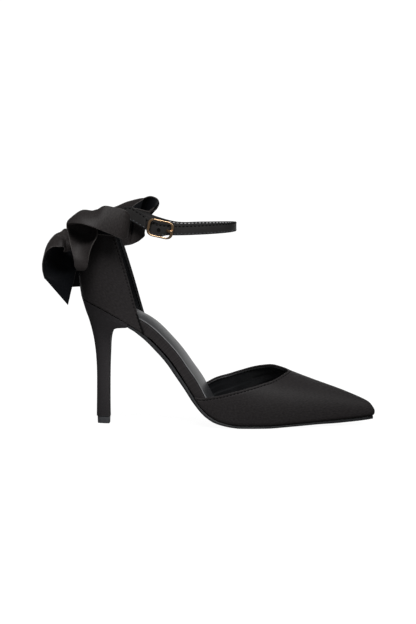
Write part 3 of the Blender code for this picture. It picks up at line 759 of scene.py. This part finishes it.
def strap_hole():
    """Punched hole of the strap, as a small bowl with a pressed lip, painted near black as the shade in
    the hole.
    """
    wall, _ = strap_grid(STRAP_FRONT, np.linspace(0, 0.25, 400), np.array([0.4, 0.5, 0.6]))
    line = wall[:, 1]
    here = np.argmin(np.abs(line[:, 0] - HOLE_X))
    out = grid_normals(wall)[here, 0]
    out = out * -np.sign(out[1])
    ahead = unit(line[here + 1] - line[here - 1])
    turn = turns(HOLE_SIDES)[:, None]
    circle = np.cos(turn) * ahead + np.sin(turn) * np.cross(out, ahead)
    lift = (STRAP / 2 + HOLE_PROUD + HOLE["lift"])[:, None, None]
    rings = line[here] + out * lift + HOLE_RADIUS * HOLE["wide"][:, None, None] * circle
    faces = ring_faces(*rings.shape[:2])
    faces.pop(-2)  # open at the lip
    points = rings.reshape(-1, 3)
    return make("strap_holes", points, faces, points[:, (0, 2)])


def buckle_axes():
    """Middle of the buckle and its directions: towards the toe, up, and out from the ankle."""
    ahead = unit(BUCKLE_TOE_END - BUCKLE_HEEL_END)
    out = unit(np.cross(ahead, (0, 0, 1)))
    return (BUCKLE_HEEL_END + BUCKLE_TOE_END) / 2, ahead, np.cross(out, ahead), out


def bar(name, path, wide, high, replaces, closed=False):
    """Metal bar along a path: wide in the buckle's plane, high out of it, with softly squared sides."""
    if closed:
        ahead = unit(np.roll(path, -1, axis=0) - np.roll(path, 1, axis=0))
    else:
        ahead = unit(np.gradient(path, axis=0))
    out = buckle_axes()[3]
    lift = unit(out - ahead * (ahead @ out)[:, None])
    side = np.cross(ahead, lift)
    turn = turns(BAR_SIDES)
    circle = np.stack([np.cos(turn), np.sin(turn)])
    across, above = (np.sign(circle) * np.abs(circle) ** BAR_SQUARE)[..., None]
    rings = (path[:, None] + side[:, None] * (np.reshape(wide, (-1, 1, 1)) * across)
             + lift[:, None] * (np.reshape(high, (-1, 1, 1)) * above))
    return ring_loft(name, rings, replaces, closed)


def buckle_frame():
    """Rounded frame of the buckle, broader at its ends."""
    middle, ahead, up, _ = buckle_axes()
    reach_x = BUCKLE_LENGTH / 2 - BUCKLE_WIRE - BUCKLE_CORNER
    reach_y = BUCKLE_HEIGHT / 2 - BUCKLE_WIRE - BUCKLE_CORNER
    corners = []
    for corner, (x, y) in enumerate(CORNERS):
        for step in range(33):
            turn = (corner + step / 32) * math.pi / 2
            corners.append(middle + ahead * (x * reach_x + BUCKLE_CORNER * math.cos(turn))
                           + up * (y * reach_y + BUCKLE_CORNER * math.sin(turn)))
    loop = np.array(corners + corners[:1])
    path = on_line(loop, np.linspace(0, lengths(loop)[-1], 240, endpoint=False))
    ends = fade(np.abs((path - middle) @ ahead) / (BUCKLE_LENGTH / 2), 0.62, 0.92)
    return bar("buckle_frame_gold", path, 0.68 + 0.42 * ends, [0.78], ("buckle_frame",), closed=True)


def buckle_prong():
    """Prong from the strap's hole over the frame's toe bar."""
    middle, ahead, _, out = buckle_axes()
    toe_bar = BUCKLE_LENGTH / 2 - BUCKLE_WIRE
    over = BUCKLE_WIRE + PRONG + GAP
    shape = table(
        "along lift radius",
        (PRONG_START, 0.1 * over, PRONG), (PRONG_START + 2.2, 0.75 * over, PRONG),
        (toe_bar, over, 0.9 * PRONG), (toe_bar + PRONG_PAST, 0.95 * over, 0.4 * PRONG))
    along = np.linspace(PRONG_START, toe_bar + PRONG_PAST, 24)
    lift, radius = (smooth(along, shape["along"], shape[key]) for key in ("lift", "radius"))
    radius[-1] *= 0.4
    path = middle + ahead * along[:, None] + out * lift[:, None]
    return bar("buckle_prong_gold", path, radius, 0.85 * radius, ("buckle_prong",))


# Bow: each row gives a ribbon's two edges, and how far its middle bulges between them

TWO_EDGES = "ax ay az bx by bz bulge"
NEAR = table(
    TWO_EDGES,
    (-1, -8.6, 163, -1, -8.6, 151, 0), (10, -25.6, 170, 10, -26, 152, 0),
    (25, -29.6, 172.6, 26, -31.4, 151, 0), (40.2, -33.6, 167.5, 38, -36.6, 149.4, 0.5),
    (38, -36.4, 171, 34.8, -40.8, 149.6, 1), (27.2, -36, 174.2, 25.5, -43.2, 153.6, 1),
    (20.4, -35.5, 174.9, 19, -44, 156.2, 1), (14, -34.2, 171.3, 12.5, -44, 158.7, 1),
    (2.6, -30.6, 170.9, 2, -42, 161.4, 1.5), (-5.4, -27.5, 165.4, -5, -38.5, 161.6, 1),
    (-9.4, -24.5, 161.4, -8.4, -33.5, 160.4, 0), (-10.3, -24, 158.2, -4, -30, 160.4, -1),
    (-9.8, -25.5, 155, 6, -31, 160.8, -6), (-8.8, -27.5, 151.5, 14.4, -35.5, 158.6, -9),
    (-7.8, -29.3, 147.5, 15.2, -37.3, 151.6, -8), (-6.7, -30.7, 143.5, 12, -37.8, 145.4, -5),
    (-4.6, -33.5, 137, 9.4, -37, 138.5, -2), (-3.1, -35.4, 131, 8, -36.5, 130.6, 0.5),
    (-2.4, -36.2, 126.8, 6.8, -36.2, 126.4, 0.5), (-0.8, -34.6, 124.5, 4.9, -34.6, 124.3, 0),
    (-1.2, -32, 126.2, 5.1, -32, 126.2, 0), (-3, -28.5, 134, 7, -29.5, 134, 0),
    (-4, -21, 144, 8, -25.5, 145, 0), (-4.5, -9, 148.4, 1, -10.4, 148, 0))
FAR = table(
    TWO_EDGES,
    (-1, 8.6, 163, -1, 8.6, 150, 0), (14, 27.4, 167, 13, 27.8, 147, 0),
    (24.4, 30.4, 170.3, 21, 29.4, 142.5, -1), (33, 33.4, 173.8, 28, 30, 138.8, -1.2),
    (45.4, 35.2, 176.2, 33, 31, 138.8, 0), (36.9, 30.6, 169.6, 36.5, 30.4, 139.6, 0.5),
    (44, 31.6, 167.6, 39, 32, 140.6, 1), (51.3, 33.8, 165.8, 41.8, 34, 142, 2),
    (56.1, 35.2, 168, 44.6, 36, 144.2, 5.5), (57.9, 36.4, 171.9, 45.9, 38.2, 145.6, 6.5),
    (56.6, 36.8, 175.7, 45.4, 40.4, 146.4, 3), (52.4, 36.8, 177.7, 43.6, 42.2, 146.2, -2),
    (44, 36.6, 175.6, 36, 42.5, 145, -5), (36, 38, 172, 29, 40.5, 144, -3),
    (28, 39, 169.6, 22, 38, 144, -1), (11, 32, 168, 9, 31.5, 147, 0), (-5, 9.4, 163, -5, 9.4, 151, 0))
TAIL_NEAR = table(
    TWO_EDGES,
    (-4.5, -4.5, 147.5, -5.5, 0.5, 156, 0), (-8.2, -8.8, 138.6, -10.4, 1, 154, -1),
    (-14, -18, 140.3, -15.5, 8, 152.6, -4), (-21, -20.5, 141.4, -17, 14, 148, -5.2),
    (-27, -19.5, 137, -14, 18.5, 141.5, -6.2), (-29.9, -17, 129.5, -9, 18, 134, -5),
    (-30.6, -14, 123, -6, 12, 125.5, -2), (-30.2, -11.4, 118.6, -6.6, 5, 116.5, 0),
    (-29.9, -10.6, 117, -9, 2, 106.5, 1), (-29.6, -10, 116, -11.8, 0, 93.4, 0))
TAIL_FAR = table(
    TWO_EDGES,
    (-6, 3, 145.5, -1.5, 12, 147, 0), (-6.6, 10, 138, 0.5, 24, 140, 0),
    (-6.6, 19.5, 126, 3.5, 31, 127, 0), (-9.4, 17, 115, 2, 31, 117, 0),
    (-11, 13, 106.6, 0, 29.5, 106, 0))
RIBBON = 0.9  # thickness of the doubled satin
RIBBON_COLUMNS = 41
IN_KNOT = 4.0  # length of ribbon in the knot's grip
CREASE_SLANT = 12.0  # how far a crease runs on along the ribbon from edge to edge
CREASE_END = (0.15, 0.5)
KNOT_X = -3.0
KNOT = table(
    "z deep wide",
    (145.6, 2, 4.5), (147.4, 4.4, 6.6), (150.5, 5.6, 7.4), (154.5, 6, 7.8), (158.5, 5.6, 7.4),
    (161.6, 4.4, 6.6), (163.4, 2, 4.5))


def ribbon(name, rows, count, flat, replaces, dull_shaded_face, pleats):
    """Ribbon through rows of its two edges, with pleats, one dull face darkened as painted shade, and rims
    painted paler as a highlight.
    """
    edges = [slice(0, 3), slice(3, 6)]
    _, total = spaced(rows, [0], edges)
    along, full_a = rim(count, total, RIBBON / 2)
    across, full_b = rim(RIBBON_COLUMNS, flat[0], RIBBON / 2)
    line, _ = spaced(rows, along, edges)
    share = across[:, None]
    plain = line[:, None, 0:3] * (1 - share) + line[:, None, 3:6] * share
    lift = line[:, None, 6] * 4 * across * (1 - across)
    run = along[:, None] * total
    for fold in pleats:
        lift = lift + fold(run, across, total)
    middle = plain + grid_normals(plain) * lift[..., None]
    half = RIBBON / 2 * full_a[:, None] * full_b
    piece = shell(name, middle, half, replaces)
    face = (middle.shape[0] - 1) * (middle.shape[1] - 1)
    # one face gets the dull reverse satin, darkened as painted shade inside the loops and tails
    second_look(piece, np.arange(dull_shaded_face * face, (dull_shaded_face + 1) * face))
    # the rims get the paler satin: a painted highlight along the ribbon's edges
    rim_look(piece, RIBBON_COLUMNS, 2)
    return piece


def gathers(height, waves, reach, end=True):
    """Pleats that open out from where the knot holds the ribbon, at its start and also at its end."""
    def near(run):
        return np.exp(-(run / reach) ** 2) * fade(run, 0, IN_KNOT)

    def fold(run, across, total):
        return height * (near(run) + end * near(total - run)) * np.cos(2 * math.pi * waves * across)
    return fold


def crease(height, start, width):
    """Ridge or trough that runs slantwise in from a ribbon's first edge, at a distance from its start."""
    def fold(run, across, total):
        inwards = 1 - fade(across, *CREASE_END)
        return height * bump_at(run, start + CREASE_SLANT * across, width) * inwards
    return fold


def bow_knot():
    """Wrapped middle of the bow: ribbon drawn tight, with the creases running round it."""
    z = np.linspace(KNOT["z"][0], KNOT["z"][-1], 60)
    turn = turns(96)
    deep, wide = (smooth(z, KNOT["z"], KNOT[key])[:, None] for key in ("deep", "wide"))
    side = np.sin(turn)
    folds = 0.28 * np.cos(7 * side * math.pi / 2 + 0.5) + 0.14 * np.cos(15 * side + 0.12 * z[:, None])
    folds = folds * plateau(z, 146, 149, 160, 163)[:, None]
    x = KNOT_X + (deep + folds) * np.cos(turn)
    y = (wide + 0.5 * folds) * side
    rings = np.stack([x, y, z[:, None] + 0 * x], axis=2)
    return ring_loft("bow_knot_satin", rings, ("bow_knot",))


def bow():
    """The knot and its four ribbons."""
    loop = (gathers(0.9, 2.5, 12),)
    tail = (gathers(1.4, 2.5, 14, end=False), crease(-1.5, 18, 2.2), crease(3.2, 12, 2.3))
    far_tail = (gathers(0.6, 1.5, 12, end=False),)
    return (
        bow_knot(),
        ribbon("bow_ribbon_near", NEAR, 260, (21, 205), ("bow_loop_near", "bow_drop_near"), 1, loop),
        ribbon("bow_ribbon_far", FAR, 180, (26, 165), ("bow_loop_far",), 0, loop),
        ribbon("bow_tail_near_satin", TAIL_NEAR, 140, (32, 62), ("bow_tail_near",), 0, tail),
        ribbon("bow_tail_far_satin", TAIL_FAR, 80, (16, 46), ("bow_tail_far",), 0, far_tail))


# Materials

SPREAD = (0.3, 0.7)  # the part of a texture's values that is spread over a range
SATINS = (  # dark and light tone, and roughness
    ("satin_upper", (0.0155, 0.0138, 0.0141), (0.03, 0.0274, 0.028), 0.5),
    # heel satin a little lighter than the upper's: painted bounce light from below
    ("satin_heel", (0.0195, 0.0179, 0.019), (0.0285, 0.0265, 0.028), 0.5),
    # ribbon and knot satin lighter than the upper's: painted sheen
    ("satin_ribbon_painted_sheen", (0.0196, 0.0171, 0.0168), (0.0368, 0.0325, 0.0321), 0.48),
    # reverse face of the ribbons: dull, and darkened as painted shade
    ("satin_reverse_shaded", (0.005, 0.0056, 0.0068), (0.0088, 0.0095, 0.0113), 0.55),
    # paler satin for the ribbons' rims: a painted highlight
    ("satin_rim_highlight", (0.05, 0.045, 0.044), (0.075, 0.068, 0.066), 0.45),
    ("thread_black", (0.001, 0.001, 0.001), (0.0022, 0.0022, 0.0023), 0.7),
    ("thread_grey", (0.055, 0.058, 0.064), (0.085, 0.09, 0.098), 0.6),
    ("thread_pale", (0.42, 0.42, 0.43), (0.56, 0.56, 0.57), 0.6))
LEATHERS = (  # dark and light tone, roughness, size and depth of the grain in metres, and gloss
    ("leather_strap", (0.024, 0.0231, 0.0231), (0.035, 0.0339, 0.0339), 0.46, 0.0006, 0.00009, 0.3),
    ("leather_strap_edge", (0.008, 0.008, 0.0083), (0.012, 0.012, 0.0125), 0.6, 0.0005, 0.00005, 0.2),
    ("leather_lining", (0.0075, 0.008, 0.009), (0.0115, 0.012, 0.0135), 0.4, 0.0008, 0.00007, 0.4),
    ("leather_sock", (0.032, 0.033, 0.035), (0.045, 0.046, 0.049), 0.33, 0.0007, 0.00005, 0.5),
    # pale rim of the sock: a painted highlight
    ("leather_sock_edge", (0.17, 0.17, 0.175), (0.22, 0.22, 0.23), 0.6, 0.0005, 0.00005, 0.5),
    ("leather_sole", (0.015, 0.0157, 0.0172), (0.0225, 0.0232, 0.025), 0.5, 0.0005, 0.00005, 0.3),
    # near black: painted shade, along the counter's lower front edges and in the strap's hole
    ("painted_shade_black", (0.003, 0.003, 0.003), (0.006, 0.006, 0.006), 0.7, 0.0005, 0.00005, 0.1))
RUBBER = ("rubber_tip", (0.038, 0.039, 0.043), (0.056, 0.058, 0.063))
GOLD = ("gold_plate", (0.76, 0.51, 0.3))
LOOKS = (  # the first word that is in a piece's name, and the piece's materials
    ("pale_stitches", "thread_pale"), ("grey_stitches", "thread_grey"), ("stitches", "thread_black"),
    ("heel", "satin_heel"), ("strap_holes", "painted_shade_black"), ("lining", "leather_lining"),
    ("sock", "leather_sock", "leather_sock_edge"), ("outsole", "leather_sole"),
    ("top_lift", "rubber_tip"), ("buckle", "gold_plate"), ("strap", "leather_strap", "leather_strap_edge"),
    ("knot", "satin_ribbon_painted_sheen"), ("bow", "satin_ribbon_painted_sheen", "satin_reverse_shaded", "satin_rim_highlight"),
    ("counter", "satin_upper", "painted_shade_black"), ("", "satin_upper"))


def nodes_of(name, colour, roughness, **sockets):
    """A material with its shader's fixed values set, and its node tree."""
    material = bpy.data.materials.new(name)
    material.use_nodes = True
    fill(shader_of(material), Base_Color=(*colour, 1), Roughness=roughness, **sockets)
    return material, material.node_tree


def shader_of(material):
    return material.node_tree.nodes["Principled BSDF"]


def fill(node, **sockets):
    """Set a node's sockets, with underscores for the spaces in their names."""
    for socket, value in sockets.items():
        node.inputs[socket.replace("_", " ")].default_value = value


def linked(tree, kind, links, **sockets):
    """A new node with some of its sockets linked to outputs and others set."""
    node = tree.nodes.new("ShaderNode" + kind)
    fill(node, **sockets)
    for socket, output in links.items():
        tree.links.new(output, node.inputs[socket])
    return node


def noise(tree, scale, detail=2.0, stretch=(1, 1, 1), source="UV"):
    """Noise over the cloth, with scale in waves per metre."""
    place = linked(tree, "TexCoord", {}).outputs[source]
    place = linked(tree, "Mapping", {"Vector": place}, Scale=stretch).outputs["Vector"]
    return linked(tree, "TexNoise", {"Vector": place}, Scale=scale, Detail=detail).outputs["Fac"]


def ranged(tree, value, low, high):
    """A texture's value spread over a range."""
    return linked(tree, "MapRange", {"Value": value}, From_Min=SPREAD[0], From_Max=SPREAD[1],
                  To_Min=low, To_Max=high).outputs["Result"]


def tinted(tree, value, *tones):
    """A texture's value as a colour between a dark and a light one."""
    node = linked(tree, "ValToRGB", {"Fac": value})
    for element, position, tone in zip(node.color_ramp.elements, SPREAD, tones):
        element.position = position
        element.color = (*tone, 1)
    return node.outputs["Color"]


def bumped(tree, value, strength, depth, **below):
    """A texture's value as relief of a given depth in metres, over another relief if there is one."""
    node = linked(tree, "Bump", {"Height": value, **below}, Strength=strength, Distance=depth)
    return node.outputs["Normal"]


def cover(material, colour, roughness, relief):
    """Link a material's colour, roughness and relief."""
    for socket, output in (("Base Color", colour), ("Roughness", roughness), ("Normal", relief)):
        material.node_tree.links.new(output, shader_of(material).inputs[socket])
    return material


def satin(name, dark, light, roughness):
    """Satin: long fine floats across the cloth, a soft speckle, and a broad low gloss."""
    material, tree = nodes_of(name, dark, roughness, Specular_IOR_Level=0.12, Anisotropic=0.35)
    floats = noise(tree, 1400, 3, (5.0, 0.7, 1))
    slubs = noise(tree, 820, 2, (0.8, 1.3, 1))
    relief = bumped(tree, floats, 0.5, 0.00005, Normal=bumped(tree, slubs, 0.35, 0.00006))
    return cover(material, tinted(tree, slubs, dark, light),
                 ranged(tree, noise(tree, 45), roughness - 0.05, roughness + 0.05), relief)


def leather(name, dark, light, roughness, grain, depth, gloss):
    """Leather: a pebbled grain of given size in metres, with creases between the pebbles."""
    material, tree = nodes_of(name, dark, roughness, Specular_IOR_Level=gloss)
    place = linked(tree, "TexCoord", {}).outputs["UV"]
    cells = linked(tree, "TexVoronoi", {"Vector": place}, Scale=1 / grain)
    cells.feature = "SMOOTH_F1"
    fine = noise(tree, 3 / grain, 3)
    pebbles = bumped(tree, cells.outputs["Distance"], 0.7, depth)
    return cover(material, tinted(tree, noise(tree, 70), dark, light),
                 ranged(tree, fine, roughness - 0.07, roughness + 0.07),
                 bumped(tree, fine, 0.3, depth / 2, Normal=pebbles))


def rubber(name, dark, light):
    """Matt rubber with a fine roughness."""
    material, tree = nodes_of(name, dark, 0.5, Specular_IOR_Level=0.4)
    fine = noise(tree, 2500, 3, source="Object")
    return cover(material, tinted(tree, noise(tree, 300, source="Object"), dark, light),
                 ranged(tree, fine, 0.42, 0.6), bumped(tree, fine, 0.3, 0.00003))


def plated(name, colour):
    """Polished gold plate with faint wear."""
    material, tree = nodes_of(name, colour, 0.30, Metallic=1.0)
    wear = noise(tree, 120, source="Object")
    worn = tuple(0.86 * channel for channel in colour)
    return cover(material, tinted(tree, wear, worn, colour),
                 ranged(tree, noise(tree, 110, 1, source="Object"), 0.28, 0.32),
                 bumped(tree, wear, 0.02, 0.00001))


def dress(pieces):
    """Give each piece its materials."""
    made = [satin(*row) for row in SATINS] + [leather(*row) for row in LEATHERS]
    made += [rubber(*RUBBER), plated(*GOLD)]
    named = {material.name: material for material in made}
    for piece in pieces:
        for look in next(looks for word, *looks in LOOKS if word in piece.name):
            piece.data.materials.append(named[look])


# Studio

AZIMUTH = math.radians(4.0)
ELEVATION = math.radians(5.5)
MM_PER_PIXEL = 0.79
FRAME_HEIGHT = 624
AIM = np.array((99.34, 0.0, 88.77))  # point of the shoe at the middle of the picture
DISTANCE = 3.2
FLOOR = 60.0  # half its width in metres
SUNS = (  # direction to the sun, its width in degrees, power, and whether it is reflected
    ("key", (-0.05, -0.57, 0.82), 25, 2.05, True),
    ("side", (0.48, -0.57, 0.67), 25, 0.95, True),
    ("back", (0.05, 0.88, 0.47), 40, 1.5, False))
CARDS = (  # place, direction it shines in, width and height in metres, power, reflected or not
    ("bounce", (30, -70, 25), (-8, 40, 70), (0.06, 0.03), 0.036, False),
    ("fill", (70, -95, 10), (-50, 80, 72), (0.12, 0.05), 0.010, False),
    ("backdrop", (100, 700, 120), (0, -1, 0), (1.2, 0.3), 0.7, True))


def placed(name, data, axis=None, towards=None):
    """An object in the scene, with one of its axes turned in a direction."""
    item = bpy.data.objects.new(name, data)
    if axis:
        item.rotation_euler = Vector(towards).to_track_quat(axis, "Y").to_euler()
    scene.collection.objects.link(item)
    return item


def camera():
    """Camera at the photograph's angle and scale."""
    level = math.cos(ELEVATION)
    back = Vector((math.sin(AZIMUTH) * level, -math.cos(AZIMUTH) * level, math.sin(ELEVATION)))
    data = bpy.data.cameras.new("camera")
    data.sensor_fit = "VERTICAL"
    data.sensor_height = 36
    data.lens = data.sensor_height * DISTANCE / (FRAME_HEIGHT * MM_PER_PIXEL * MM)
    data.clip_end = 200
    item = placed("camera", data, "Z", back)
    item.location = Vector((AIM + SHIFT) * MM) + back * DISTANCE
    scene.camera = item


def floor():
    """Pale floor, bright by itself, that lights nothing and is not reflected."""
    mesh = bpy.data.meshes.new("floor")
    mesh.from_pydata([(FLOOR * x, FLOOR * y, 0) for x, y in CORNERS], [], [(0, 1, 2, 3)])
    look, _ = nodes_of("floor_white", (0.10, 0.10, 0.10), 0.9, Specular_IOR_Level=0.0,
                       Emission_Color=(1, 1, 1, 1), Emission_Strength=0.96)
    mesh.materials.append(look)
    item = placed("floor", mesh)
    item.visible_diffuse = False
    item.visible_glossy = False


def lights():
    """White surroundings, three suns and three cards."""
    world = bpy.data.worlds.new("studio")
    world.use_nodes = True
    fill(world.node_tree.nodes["Background"], Color=(1, 1, 1, 1), Strength=0.10)
    scene.world = world
    scene.view_settings.view_transform = "Standard"
    for name, towards, spread, power, reflected in SUNS:
        lamp = bpy.data.lights.new(name, "SUN")
        lamp.energy = power
        lamp.angle = math.radians(spread)
        placed(name, lamp, "Z", towards).visible_glossy = reflected
    for name, place, towards, size, power, reflected in CARDS:
        lamp = bpy.data.lights.new(name, "AREA")
        lamp.energy = power
        lamp.shape = "RECTANGLE"
        lamp.size, lamp.size_y = size
        card = placed(name, lamp, "-Z", towards)
        card.location = Vector((np.array(place) + SHIFT) * MM)
        card.visible_camera = False
        card.visible_glossy = reflected


def main():
    pieces = [outsole(), insole(), sock_lining(), *vamp(), *counter(), heel(), top_lift()]
    pieces += strap("strap_front_leather", STRAP_FRONT, 160, ("strap_front",))
    pieces += strap("strap_rear_leather", STRAP_REAR, 50, ("strap_rear",))
    pieces += [strap_hole(), buckle_frame(), buckle_prong(), *bow()]
    dress(pieces)
    camera()
    floor()
    lights()


main()
